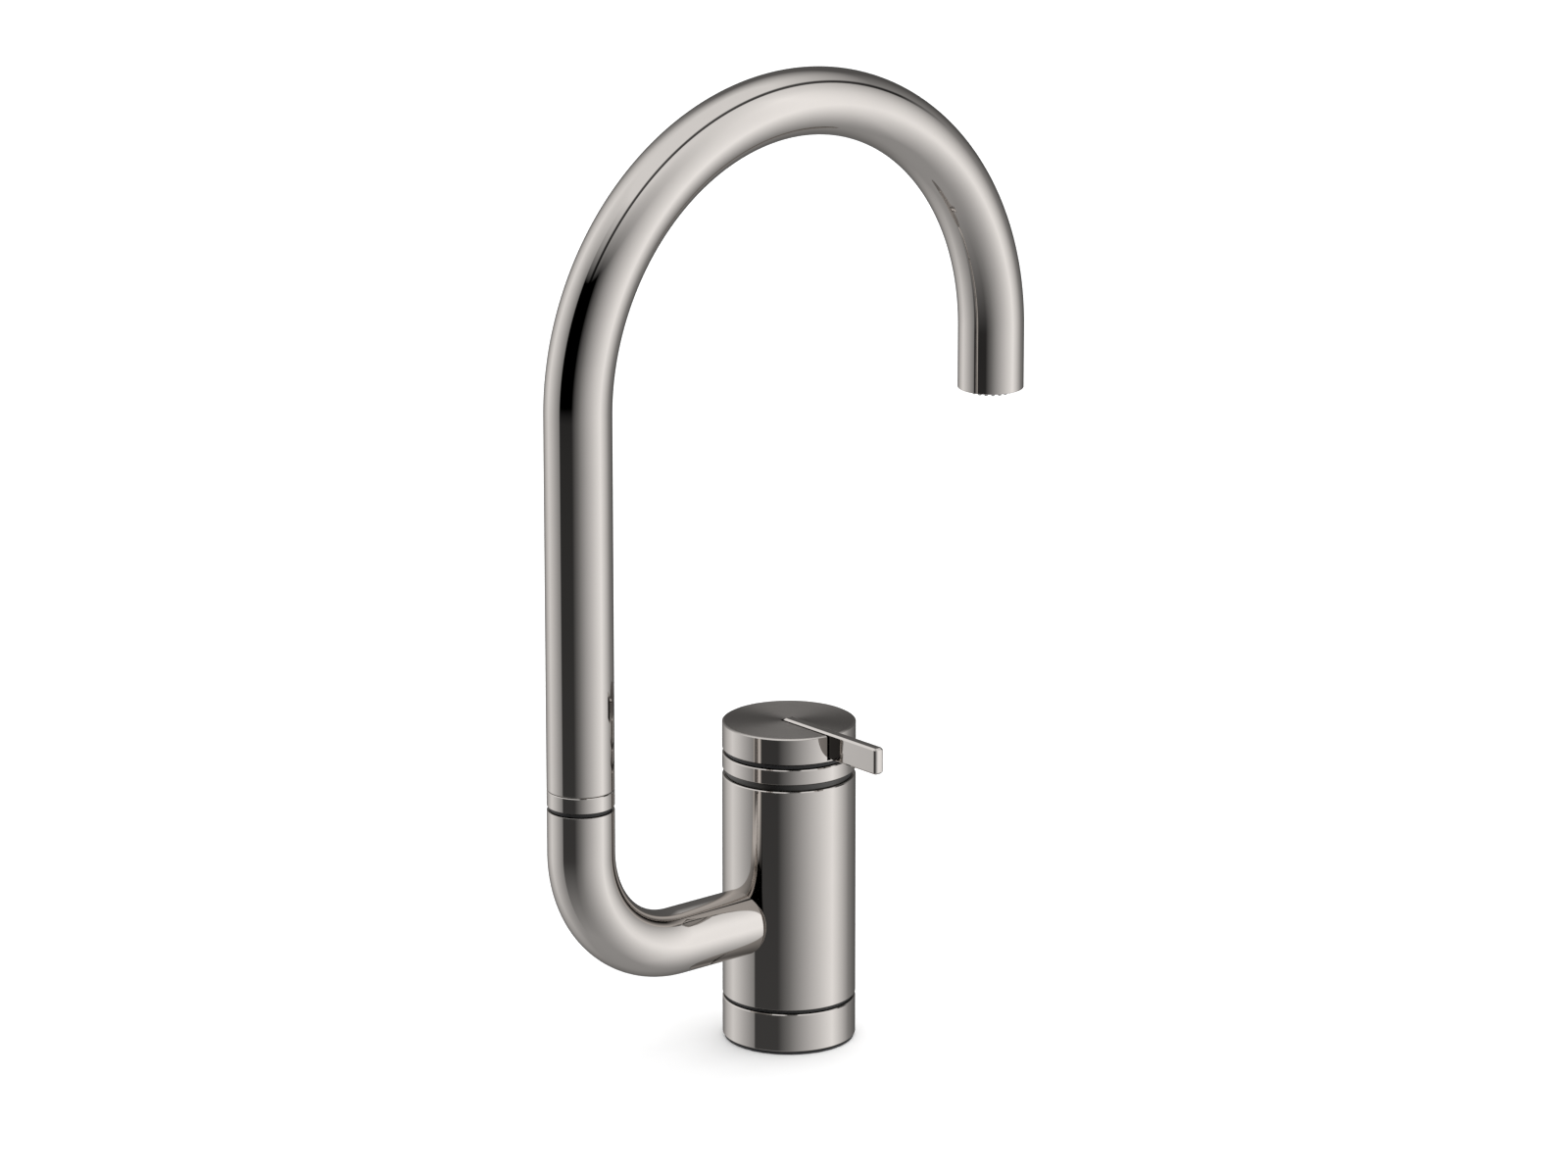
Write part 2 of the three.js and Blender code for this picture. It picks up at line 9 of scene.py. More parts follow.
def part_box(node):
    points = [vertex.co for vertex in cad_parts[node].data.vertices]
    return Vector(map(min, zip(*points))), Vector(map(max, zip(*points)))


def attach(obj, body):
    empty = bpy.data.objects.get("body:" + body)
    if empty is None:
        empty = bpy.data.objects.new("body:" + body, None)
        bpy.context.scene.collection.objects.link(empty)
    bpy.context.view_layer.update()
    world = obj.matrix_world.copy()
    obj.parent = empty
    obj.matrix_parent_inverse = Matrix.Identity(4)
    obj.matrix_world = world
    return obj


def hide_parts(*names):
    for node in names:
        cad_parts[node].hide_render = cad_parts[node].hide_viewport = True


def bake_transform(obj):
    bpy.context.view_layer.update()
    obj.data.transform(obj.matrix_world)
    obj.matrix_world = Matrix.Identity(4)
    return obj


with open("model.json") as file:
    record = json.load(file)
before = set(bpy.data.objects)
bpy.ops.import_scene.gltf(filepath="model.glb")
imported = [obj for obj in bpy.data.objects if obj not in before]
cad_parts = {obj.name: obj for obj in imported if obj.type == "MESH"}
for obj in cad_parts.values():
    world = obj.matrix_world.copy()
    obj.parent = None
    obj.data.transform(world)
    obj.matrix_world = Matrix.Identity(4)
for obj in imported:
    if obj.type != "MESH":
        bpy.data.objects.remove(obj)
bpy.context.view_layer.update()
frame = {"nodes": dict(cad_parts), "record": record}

MM = 0.001


# ---- Sizes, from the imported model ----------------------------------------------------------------
def low(node):
    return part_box(node)[0]


def high(node):
    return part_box(node)[1]


def middle(node):
    return (low(node) + high(node)) / 2


TUBE_R = (high("gooseneck_tube").y - low("gooseneck_tube").y) / 2
BODY_R = (high("body_housing").x - low("body_housing").x) / 2
SWIVEL_X = middle("swivel_collar").x
OUTLET_X = middle("sprayhead_shell").x
OFFSET = OUTLET_X
OUTLET_Z = 268.7 * MM
ARCH_Z = high("gooseneck_tube").z - OFFSET - TUBE_R
ARM_Z = low("side_arm").z + TUBE_R
SPOUT_BOTTOM = high("swivel_collar").z + 0.3 * MM
ELBOW_R = 50.6 * MM
TUBE_WALL = 1.3 * MM
ARM_WALL = 1.9 * MM


def record_bodies():
    """The body that each node rides on."""
    bodies = frame["record"]["behaviour"]["bodies"]
    return {node: body for body, nodes in bodies.items() for node in nodes}


BODY_OF = record_bodies()
SLOT_OF = {part["node"]: part["material_slot"] for part in frame["record"]["subparts"]}


# ---- Node helpers --------------------------------------------------------------------------------
class Nodes:
    """A short way to write a node tree: each call adds one node, sets its inputs and returns it."""

    def __init__(self, tree):
        self.tree = tree

    def add(self, kind, inputs=None, **settings):
        node = self.tree.nodes.new(kind)
        for key, value in settings.items():
            setattr(node, key, value)
        for key, value in (inputs or {}).items():
            self.put(node, key, value)
        return node

    def put(self, node, key, value):
        socket = node.inputs[key]
        if isinstance(value, bpy.types.NodeSocket):
            self.tree.links.new(value, socket)
        elif socket.type == "RGBA" and not isinstance(value, tuple):
            socket.default_value = (value, value, value, 1)
        else:
            socket.default_value = value

    def math(self, operation, a, b=0.0):
        return self.add("ShaderNodeMath", {0: a, 1: b}, operation=operation).outputs[0]

    def span(self, value, a, b, c=0.0, d=1.0):
        """Maps the stretch from a to b onto c to d, and holds the end values beyond it."""
        return self.add("ShaderNodeMapRange", {0: value, 1: a, 2: b, 3: c, 4: d}).outputs[0]

    def mix(self, factor, a, b):
        node = self.add("ShaderNodeMix", data_type="RGBA")
        self.put(node, 0, factor)
        self.put(node, 6, a)
        self.put(node, 7, b)
        return node.outputs[2]

    def ramp(self, value, stops):
        node = self.add("ShaderNodeValToRGB", {0: value})
        points = node.color_ramp.elements
        for i, (place, grey) in enumerate(stops):
            if i == 0 or i == len(stops) - 1:
                point = points[0 if i == 0 else len(points) - 1]
                point.position = place
            else:
                point = points.new(place)
            point.color = (grey, grey, grey, 1)
        return node.outputs[0]

    def noise(self, vector, scale, detail=2.0, roughness=0.5):
        inputs = {"Vector": vector, "Scale": scale, "Detail": detail, "Roughness": roughness}
        return self.add("ShaderNodeTexNoise", inputs).outputs[0]

    def stretched(self, vector, scale):
        return self.add("ShaderNodeMapping", {"Vector": vector, "Scale": scale}).outputs[0]

    def bump(self, height, distance):
        inputs = {"Strength": 1.0, "Distance": distance, "Height": height}
        return self.add("ShaderNodeBump", inputs).outputs[0]


def new_material(name, metallic, **fixed):
    """A material with one Principled shader, whose uniform values sit on its own sockets."""
    material = bpy.data.materials.new(name)
    material.use_nodes = True
    material.node_tree.nodes.clear()
    nodes = Nodes(material.node_tree)
    shader = nodes.add("ShaderNodeBsdfPrincipled", {"Metallic": metallic})
    for key, value in fixed.items():
        shader.inputs[key.replace("_", " ")].default_value = value
    out = nodes.add("ShaderNodeOutputMaterial")
    material.node_tree.links.new(shader.outputs[0], out.inputs[0])
    here = nodes.add("ShaderNodeTexCoord").outputs["Object"]
    return material, nodes, shader, here


def tint(colour, gain):
    return (*[min(1.0, c * gain) for c in colour], 1)


# ---- Materials -----------------------------------------------------------------------------------
NICKEL_TONE = (0.62, 0.588, 0.562)
EDGE_TONE = (0.62, 0.61, 0.6, 1)  # the coating is darker at a glancing angle


def polished_nickel():
    """Mirror polished titanium-tone nickel: a faint haze in patches and very fine buffing lines."""
    material, n, shader, here = new_material("polished_nickel", 1.0, Specular_Tint=EDGE_TONE)
    haze = n.noise(here, 55, 3)
    n.put(shader, "Base Color", n.mix(haze, tint(NICKEL_TONE, 0.975), tint(NICKEL_TONE, 1.02)))
    buffing = n.noise(n.stretched(here, (2500, 2500, 260)), 1.0, 2)
    wipe = n.span(n.noise(here, 18, 4, 0.6), 0.35, 0.75, 0.012, 0.03)
    n.put(shader, "Roughness", n.math("ADD", wipe, n.math("MULTIPLY", buffing, 0.012)))
    n.put(shader, "Normal", n.bump(buffing, 0.0006 * MM))
    return material


def spun_nickel():
    """The cap's top: circular brushing about the centre, so its reflections fan out in sectors."""
    material, n, shader, here = new_material("spun_nickel", 1.0, Anisotropic=0.9,
                                             Anisotropic_Rotation=0.25, Specular_Tint=EDGE_TONE)
    split = n.add("ShaderNodeSeparateXYZ", {0: here})
    x, y = split.outputs[0], split.outputs[1]
    radius = n.math("SQRT", n.math("ADD", n.math("MULTIPLY", x, x), n.math("MULTIPLY", y, y)))
    line = n.add("ShaderNodeCombineXYZ", {0: n.math("MULTIPLY", radius, 9000), 1: n.math("MULTIPLY", x, 25),
                                          2: n.math("MULTIPLY", y, 25)})
    lines = n.noise(line.outputs[0], 1.0, 3, 0.7)
    n.put(shader, "Base Color", n.mix(lines, tint(NICKEL_TONE, 0.58), tint(NICKEL_TONE, 0.76)))
    n.put(shader, "Roughness", n.span(lines, 0.2, 0.8, 0.26, 0.36))
    n.put(shader, "Tangent", n.add("ShaderNodeTangent", direction_type="RADIAL", axis="Z").outputs[0])
    n.put(shader, "Normal", n.bump(lines, 0.004 * MM))
    return material


def turned_metal(name, tone, rough):
    """A machined inner part: fine turning rings, with a little colour drift."""
    material, n, shader, here = new_material(name, 1.0)
    drift = n.noise(here, 90, 3)
    n.put(shader, "Base Color", n.mix(drift, tint(tone, 0.86), tint(tone, 1.06)))
    rings = n.noise(n.stretched(here, (120, 120, 6000)), 1.0, 2)
    n.put(shader, "Roughness", n.span(rings, 0.2, 0.8, rough - 0.06, rough + 0.08))
    n.put(shader, "Normal", n.bump(rings, 0.004 * MM))
    return material


def moulded(name, tone, rough, grain):
    """A moulded plastic or rubber: a fine grain in both gloss and relief."""
    material, n, shader, here = new_material(name, 0.0)
    fine = n.noise(here, grain, 4, 0.6)
    patch = n.noise(here, 120, 2)
    n.put(shader, "Base Color", n.mix(patch, tint(tone, 0.8), tint(tone, 1.15)))
    n.put(shader, "Roughness", n.span(fine, 0.25, 0.75, rough - 0.08, rough + 0.1))
    n.put(shader, "Normal", n.bump(fine, 0.02 * MM))
    return material


STRANDS_ROUND = 12
STRANDS_PER_METRE = 330


def braid(name, along_object_z=False):
    """A woven sleeve: two families of diagonal strands, from the turn round the hose and its length."""
    material, n, shader, here = new_material(name, 0.75)
    uv = n.add("ShaderNodeSeparateXYZ", {0: n.add("ShaderNodeTexCoord").outputs["UV"]})
    along = n.add("ShaderNodeSeparateXYZ", {0: here}).outputs[2] if along_object_z else uv.outputs[1]
    turns = n.math("MULTIPLY", uv.outputs[0], 2 * math.pi * STRANDS_ROUND)
    length = n.math("MULTIPLY", along, 2 * math.pi * STRANDS_PER_METRE)
    first = n.math("SINE", n.math("ADD", turns, length))
    second = n.math("SINE", n.math("SUBTRACT", turns, length))
    weave = n.span(n.math("MULTIPLY", first, second), -1, 1)
    n.put(shader, "Base Color", n.mix(weave, (0.06, 0.06, 0.063, 1), (0.34, 0.335, 0.33, 1)))
    n.put(shader, "Roughness", n.span(weave, 0, 1, 0.65, 0.3))
    n.put(shader, "Normal", n.bump(weave, 0.25 * MM))
    return material


MATERIALS = {
    "polished_nickel": polished_nickel(),
    "spun_nickel": spun_nickel(),
    "dark_nickel": turned_metal("dark_nickel", (0.11, 0.108, 0.105), 0.4),
    "brass": turned_metal("brass", (0.68, 0.5, 0.24), 0.3),
    "steel": turned_metal("steel", (0.6, 0.59, 0.58), 0.28),
    "copper": turned_metal("copper", (0.74, 0.4, 0.26), 0.3),
    "rubber": moulded("rubber", (0.022, 0.022, 0.024), 0.6, 3000),
    "grey_rubber": moulded("grey_rubber", (0.3, 0.3, 0.3), 0.55, 2600),
    "black_acetal": moulded("black_acetal", (0.012, 0.012, 0.013), 0.42, 2200),
    "white_plastic": moulded("white_plastic", (0.74, 0.72, 0.66), 0.45, 1800),
    "magnet": moulded("magnet", (0.05, 0.05, 0.055), 0.5, 2600),
    "hose": braid("hose"),
    "hose_drop": braid("hose_drop", along_object_z=True),
}


# ---- Mesh helpers --------------------------------------------------------------------------------
SMOOTH_ANGLE = math.radians(32)


def soften(obj, width, steps):
    """Rounds the sharp edges."""
    soft = obj.modifiers.new("soft_edges", "BEVEL")
    soft.width = width
    soft.segments = steps
    soft.limit_method = "ANGLE"
    soft.angle_limit = SMOOTH_ANGLE
    soft.harden_normals = True


def piece(name, bm, material, body, nodes=(), bevel=0.0, bevel_steps=3):
    """Makes one piece from a bmesh, with soft edges, and seats it in the frame."""
    mesh = bpy.data.meshes.new(name)
    bmesh.ops.recalc_face_normals(bm, faces=bm.faces)
    bm.to_mesh(mesh)
    bm.free()
    obj = bpy.data.objects.new(name, mesh)
    bpy.context.scene.collection.objects.link(obj)
    obj.data.materials.append(MATERIALS[material])
    mesh.shade_smooth()
    mesh.set_sharp_from_angle(angle=SMOOTH_ANGLE)
    if bevel:
        soften(obj, bevel, bevel_steps)
    if body:
        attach(obj, body)
    if nodes:
        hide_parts(*nodes)
    return obj


def grid_faces(bm, rings, close_rings=False):
    """Joins each ring of vertices to the next one."""
    pairs = list(zip(rings, rings[1:]))
    if close_rings:
        pairs.append((rings[-1], rings[0]))
    for a, b in pairs:
        count = max(len(a), len(b))
        for i in range(count):
            j = (i + 1) % count
            corners = [a[i % len(a)], a[j % len(a)], b[j % len(b)], b[i % len(b)]]
            corners = [v for k, v in enumerate(corners) if v not in corners[:k]]
            if len(corners) > 2:
                bm.faces.new(corners)


def hexagon(angle):
    """How far a hexagon's side lies from its centre at an angle, as a share of its corner radius."""
    return math.cos(math.pi / 6) / math.cos(angle % (math.pi / 3) - math.pi / 6)


def lathe(profile, x=0.0, y=0.0, steps=160, closed=True, bm=None):
    """Turns (radius, z) points about an upright axis. A point on the axis becomes a single vertex, and a
    third entry gives the ring a shape of its own, such as a hexagon."""
    bm = bm or bmesh.new()
    rings = []
    for r, z, *shape in profile:
        if r < 1e-7:
            rings.append([bm.verts.new((x, y, z))])
            continue
        angles = [2 * math.pi * i / steps for i in range(steps)]
        radii = [r * shape[0](a) if shape else r for a in angles]
        rings.append([bm.verts.new((x + q * math.cos(a), y + q * math.sin(a), z))
                      for a, q in zip(angles, radii)])
    grid_faces(bm, rings, closed)
    return bm


def in_mm(points):
    return [(p[0] * MM, p[1] * MM, *p[2:]) for p in points]


def band(inner, outer, z0, z1, **place):
    return lathe([(inner, z0), (outer, z0), (outer, z1), (inner, z1)], **place)


def line_stations(start, end, count):
    """Evenly spaced (centre, direction) stations on a straight run in the XZ plane."""
    a, b = Vector(start), Vector(end)
    along = (b - a).normalized()
    return [(a.lerp(b, i / count), along) for i in range(count + 1)]


def arc_stations(centre, radius, start, end, count):
    """(centre, direction) stations on a bend in the XZ plane, with angles in degrees."""
    made = []
    turn = 1 if end > start else -1
    for i in range(count + 1):
        a = math.radians(start + (end - start) * i / count)
        place = Vector((centre[0] + radius * math.cos(a), 0, centre[1] + radius * math.sin(a)))
        made.append((place, Vector((-math.sin(a) * turn, 0, math.cos(a) * turn))))
    return made


def section(bm, centre, along, radius, sides):
    """A ring of vertices round a station of a route in the XZ plane."""
    across = Vector((0, 1, 0))
    side = along.cross(across).normalized()
    angles = [2 * math.pi * i / sides for i in range(sides)]
    return [bm.verts.new(centre + (side * math.cos(a) + across * math.sin(a)) * radius) for a in angles]


def swept_tube(stations, outer, inner, sides=96):
    """A hollow tube along the stations, closed by its two end faces."""
    bm = bmesh.new()
    rings = [section(bm, c, t, outer, sides) for c, t in stations]
    rings += [section(bm, c, t, inner, sides) for c, t in reversed(stations)]
    grid_faces(bm, rings, close_rings=True)
    return bm


def swept_rod(stations, radius, sides=32):
    """A solid rod along the stations, with a map of turn and length for its weave."""
    bm = bmesh.new()
    rings = [section(bm, c, t, radius, sides) for c, t in stations]
    rings.insert(0, [bm.verts.new(stations[0][0])])
    rings.append([bm.verts.new(stations[-1][0])])
    grid_faces(bm, rings)
    lengths = [0.0]
    for (a, _), (b, _) in zip(stations, stations[1:]):
        lengths.append(lengths[-1] + (b - a).length)
    lengths = [lengths[0], *lengths, lengths[-1]]
    place = {v: (i / sides, lengths[k]) for k, ring in enumerate(rings) for i, v in enumerate(ring)}
    layer = bm.loops.layers.uv.new("weave")
    for face in bm.faces:
        turns = [place[loop.vert][0] for loop in face.loops]
        wraps = max(turns) - min(turns) > 0.5
        for loop in face.loops:
            u, v = place[loop.vert]
            loop[layer].uv = (u + 1 if wraps and u < 0.5 else u, v)
    return bm


def combine(obj, tool_mesh, operation="DIFFERENCE"):
    """Cuts a closed mesh out of a piece or joins it on, and keeps the result as the piece's mesh."""
    mesh = bpy.data.meshes.new("tool")
    bmesh.ops.recalc_face_normals(tool_mesh, faces=tool_mesh.faces)
    tool_mesh.to_mesh(mesh)
    tool_mesh.free()
    tool = bpy.data.objects.new("tool", mesh)
    bpy.context.scene.collection.objects.link(tool)
    boolean = obj.modifiers.new("cut", "BOOLEAN")
    boolean.object = tool
    boolean.operation = operation
    boolean.solver = "EXACT"
    while obj.modifiers[0] != boolean:
        obj.modifiers.move(len(obj.modifiers) - 1, 0)
    softening = [m for m in obj.modifiers if m != boolean]
    for modifier in softening:
        modifier.show_viewport = False
    bpy.context.view_layer.update()
    result = bpy.data.meshes.new_from_object(obj.evaluated_get(bpy.context.evaluated_depsgraph_get()))
    for modifier in softening:
        modifier.show_viewport = True
    obj.modifiers.remove(boolean)
    bpy.data.objects.remove(tool)
    obj.data = result
    result.shade_smooth()
    result.set_sharp_from_angle(angle=SMOOTH_ANGLE)


def box_mesh(x, y, z):
    bm = bmesh.new()
    bmesh.ops.create_cube(bm, size=1)
    for v in bm.verts:
        v.co = [lo + (c + 0.5) * (hi - lo) for c, (lo, hi) in zip(v.co, (x, y, z))]
    return bm


def move_to(bm, axis, angle, place):
    """Turns a mesh that was made about the Z axis, and moves it to its place."""
    matrix = Matrix.Rotation(math.radians(angle), 3, axis)
    bmesh.ops.rotate(bm, verts=bm.verts, cent=Vector((0, 0, 0)), matrix=matrix)
    bmesh.ops.translate(bm, verts=bm.verts, vec=Vector(place))
    return bm


def across_x(bm, place):
    return move_to(bm, "Y", 90, place)


def across_y(bm, place):
    return move_to(bm, "X", -90, place)


def open_ring(inner, outer, z0, z1, x, start, end, steps=96):
    """A flat ring that stops short of a full turn, as a circlip does. Angles in degrees."""
    bm = bmesh.new()
    rings = []
    for i in range(steps + 1):
        a = math.radians(start + (end - start) * i / steps)
        corners = [(inner, z0), (outer, z0), (outer, z1), (inner, z1)]
        rings.append([bm.verts.new((x + r * math.cos(a), r * math.sin(a), z)) for r, z in corners])
    grid_faces(bm, rings)
    bm.faces.new(rings[0])
    bm.faces.new(rings[-1])
    return bm


def thread(radius, depth, z0, z1, pitch):
    """Profile points of a screw thread drawn as close rings."""
    count = max(1, round((z1 - z0) / pitch))
    points = []
    step = (z1 - z0) / count
    for i in range(count):
        z = z0 + (z1 - z0) * i / count
        points += [(radius - depth, z), (radius, z + 0.4 * step), (radius, z + 0.6 * step)]
    return points + [(radius - depth, z1)]


def dress(node, bm, bevel=0.1):
    """Makes the piece that stands for one node, on that node's body and in its slot. Bevel in mm."""
    slot = SLOT_OF[node]
    return piece(node + "_look", bm, slot, BODY_OF[node], [node], bevel=bevel * MM, bevel_steps=2)


SEAL_WIDTH = {"cartridge_seal": 6.7, "piston_seal_lower": 2.0, "piston_seal_upper": 2.0,
              "swivel_seal_lower": 2.0, "swivel_seal_upper": 2.0, "face_seal": 2.1}


def o_ring(node, x=0.0):
    """A rubber ring with a round section that fills the node's own band."""
    lo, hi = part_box(node)
    outer = (hi.x - lo.x) / 2
    height = hi.z - lo.z
    width = SEAL_WIDTH[node] * MM
    centre = (outer - width / 2, (lo.z + hi.z) / 2)
    turns = [2 * math.pi * i / 20 for i in range(20)]
    profile = [(centre[0] + width / 2 * math.cos(a), centre[1] + height / 2 * math.sin(a)) for a in turns]
    dress(node, lathe(profile, x=x, steps=96), bevel=0)


# ---- Body ----------------------------------------------------------------------------------------
RING_EDGE = 0.42 * MM
RING_BORE = 25.2 * MM
BASE_GROOVE = 1.2 * MM


def bright_ring(name, node, inner=RING_BORE, body="base", x=0.0, edge=RING_EDGE, radius=BODY_R):
    """A polished ring with a turned chamfer on each outer edge."""
    z0, z1 = low(node).z, high(node).z
    profile = [(inner, z0), (radius - edge, z0), (radius, z0 + edge), (radius, z1 - edge),
               (radius - edge, z1), (inner, z1)]
    return piece(name, lathe(profile, x=x, steps=256), "polished_nickel", body, [node],
                 bevel=0.08 * MM, bevel_steps=2)


def make_base():
    gasket = band(17.6 * MM, BODY_R - 0.7 * MM, 0, high("base_gasket").z, steps=192)
    piece("deck_gasket", gasket, "rubber", "base", ["base_gasket"], bevel=0.3 * MM)
    bright_ring("base_collar", "base_ring")
    bright_ring("body_sleeve", "body_housing")
    z0, z1 = low("base_spacer").z, high("base_spacer").z
    spacer = band(RING_BORE, BODY_R - BASE_GROOVE, z0, z1, steps=192)
    piece("shadow_ring", spacer, "black_acetal", "base", ["base_spacer"], bevel=0.1 * MM)


def make_bonnet():
    z0, z1 = low("bonnet").z, high("bonnet").z
    step = 118.35 * MM
    profile = [(19.8 * MM, z0), (24.8 * MM, z0), (24.8 * MM, step), (27 * MM, step), (27 * MM, z1),
               (23.4 * MM, z1), (23.4 * MM, 118.6 * MM), (19.8 * MM, 118.6 * MM)]
    piece("bonnet_ring", lathe(profile, steps=192), "dark_nickel", "base", ["bonnet"],
          bevel=0.15 * MM)
    bright_ring("bonnet_trim", "trim_ring")
    z0, z1 = low("glide_ring").z, high("glide_ring").z
    lip = 128.1 * MM
    profile = [(21.4 * MM, z0), (24.8 * MM, z0), (24.8 * MM, lip), (27.3 * MM, lip), (27.3 * MM, z1),
               (21.4 * MM, z1)]
    piece("glide_bearing", lathe(profile, steps=192), "black_acetal", "base",
          ["glide_ring"], bevel=0.15 * MM)


def make_arm():
    """The side arm and its elbow, one drawn tube that meets the body without a fillet."""
    elbow_x = SWIVEL_X + ELBOW_R
    elbow_z = ARM_Z + ELBOW_R
    stations = line_stations((high("side_arm").x, 0, ARM_Z), (elbow_x, 0, ARM_Z), 6)
    stations += arc_stations((elbow_x, elbow_z), ELBOW_R, 270, 180, 60)[1:]
    stations += line_stations((SWIVEL_X, 0, elbow_z), (SWIVEL_X, 0, high("side_arm").z), 4)[1:]
    tube = swept_tube(stations, TUBE_R, TUBE_R - ARM_WALL, sides=128)
    piece("arm_tube", tube, "polished_nickel", "base", ["side_arm"], bevel=0.25 * MM)


# ---- Handle --------------------------------------------------------------------------------------
PIVOT = (0, -8 * MM, 139.2 * MM)
LINK = (0, -0.9 * MM, 135 * MM)
SLOT_HALF = 3.2 * MM
SLOT_END_Y = 2 * MM
TOP_EDGE = 0.9 * MM  # the polished rim round the spun top
SPUN_NICKEL_INDEX = 1


def pin_hole(radius, length, place):
    """A tool that drills a cross hole for a pin. Sizes in mm."""
    profile = in_mm([(0, -length / 2), (radius, -length / 2), (radius, length / 2), (0, length / 2)])
    return across_x(lathe(profile, steps=32, closed=False), place)


def make_cap():
    z0, z1 = 129.9 * MM, high("handle_cap").z
    under = z1 - 3 * MM
    skirt = low("handle_cap").z
    groove = (120.2 * MM, 121.3 * MM)
    profile = [
        (0, under), (18.8 * MM, under), (18.8 * MM, skirt), (21 * MM, skirt), (21 * MM, groove[0]),
        (20.2 * MM, groove[0]), (20.2 * MM, groove[1]), (21 * MM, groove[1]), (21 * MM, under),
        (25.4 * MM, under), (25.4 * MM, z0), (BODY_R - RING_EDGE, z0), (BODY_R, z0 + RING_EDGE),
        (BODY_R, z1 - TOP_EDGE * 0.55), (BODY_R - TOP_EDGE, z1),
        (BODY_R - TOP_EDGE - 0.1 * MM, z1), (0, z1),
    ]
    cap = piece("cap_shell", lathe(profile, steps=256, closed=False), "polished_nickel", "cap",
                ["handle_cap"])
    ears = box_mesh((-7.2 * MM, 7.2 * MM), (-11 * MM, -6.1 * MM), (135.8 * MM, under + 0.5 * MM))
    combine(cap, ears, "UNION")
    slot = box_mesh((-SLOT_HALF, SLOT_HALF), (-BODY_R - 1 * MM, SLOT_END_Y), (z0 + 0.9 * MM, z1 + 1 * MM))
    combine(cap, slot)
    combine(cap, pin_hole(1.3, 15, PIVOT))
    cap.data.materials.append(MATERIALS["spun_nickel"])
    for face in cap.data.polygons:
        flat = face.normal.z > 0.999 and face.center.z > z1 - 0.01 * MM
        face.material_index = SPUN_NICKEL_INDEX if flat else 0
    soften(cap, 0.12 * MM, 2)


LEVER_CORNER = 1.5 * MM
LEVER_CHAMFER = 0.8 * MM


def lever_outline(half, tip_y, heel_y, corner, steps=8):
    """The blade seen from above: square at the heel, with rounded corners at the tip."""
    points = [(half, heel_y), (-half, heel_y)]
    for centre_x, start in ((-half + corner, 180), (half - corner, 270)):
        for i in range(steps + 1):
            a = math.radians(start + 90 * i / steps)
            points.append((centre_x + corner * math.cos(a), tip_y + corner + corner * math.sin(a)))
    return points


def make_lever():
    """A flat blade with a chamfer along its top and bottom edges, drilled for its two pins."""
    lo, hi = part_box("lever_blade")
    c = LEVER_CHAMFER
    full = lever_outline(hi.x, lo.y, hi.y, LEVER_CORNER)
    inner = lever_outline(hi.x - c, lo.y + c, hi.y - c, LEVER_CORNER - c)
    bm = bmesh.new()
    levels = [(inner, lo.z), (full, lo.z + c), (full, hi.z - c), (inner, hi.z)]
    rings = [[bm.verts.new((x, y, z)) for x, y in outline] for outline, z in levels]
    grid_faces(bm, rings)
    bm.faces.new(rings[0])
    bm.faces.new(rings[-1])
    blade = piece("lever_plate", bm, "polished_nickel", "lever", ["lever_blade"],
                  bevel=0.05 * MM, bevel_steps=2)
    for place, radius in ((PIVOT, 1.3), (LINK, 1.25)):
        combine(blade, pin_hole(radius, 16, place))


# ---- Swivel and spout ----------------------------------------------------------------------------
def make_swivel():
    lo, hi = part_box("bearing_washer")
    washer = band(10.1 * MM, (hi.x - lo.x) / 2, lo.z, hi.z, x=SWIVEL_X, steps=128)
    piece("swivel_washer", washer, "black_acetal", "base", ["bearing_washer"],
          bevel=0.1 * MM)
    collar = bright_ring("swivel_trim", "swivel_collar", 13.1 * MM, body="spout", x=SWIVEL_X,
                         edge=0.3 * MM, radius=TUBE_R)
    combine(collar, screw_hole())


def make_spout():
    stations = line_stations((SWIVEL_X, 0, SPOUT_BOTTOM), (SWIVEL_X, 0, ARCH_Z), 8)
    stations += arc_stations((0, ARCH_Z), OFFSET, 180, 0, 144)[1:]
    stations += line_stations((OUTLET_X, 0, ARCH_Z), (OUTLET_X, 0, OUTLET_Z), 4)[1:]
    tube = swept_tube(stations, TUBE_R, TUBE_R - TUBE_WALL, sides=128)
    piece("spout_tube", tube, "polished_nickel", "spout", ["gooseneck_tube"],
          bevel=0.3 * MM)


# ---- Studio --------------------------------------------------------------------------------------
# A plain studio room. Azimuth is in degrees from the front, positive to the right; 1 is a white wall.
LEFT_PANEL = (-155, 1.1)
BLACK_CARD = (-102, -60)
RIGHT_PANEL = (40, 1.3)
BACK_WALL = (120, 0.15)
WALL = [(-180, 0.8), LEFT_PANEL, (BLACK_CARD[0] - 2, 0.3), (BLACK_CARD[0], 0.0), (BLACK_CARD[1], 0.0),
        (-40, 0.2), RIGHT_PANEL, (85, 0.35), BACK_WALL, (150, 0.2), (180, 0.8)]
FLOOR_LIGHT = 0.4
CEILING_LIGHT = 1.0
WALL_FOOT = (-70, -10)
WALL_HEAD = (30, 60)
# The two ceiling panels meet in a dark gap that runs along X, a little forward of the zenith.
GAP_TILT = math.radians(17)
GAP_FRONT = (-0.07, -0.05)
GAP_BACK = (0.04, 0.1)
BACKDROP_LIGHT = 1.5


def wall_ring(n, azimuth):
    """The wall all the way round. A ramp holds values up to 1, so it is scaled down and back up."""
    top = max(light for _, light in WALL)
    ring = n.ramp(azimuth, [((a + 180) / 360, light / top) for a, light in WALL])
    return n.math("MULTIPLY", ring, top)


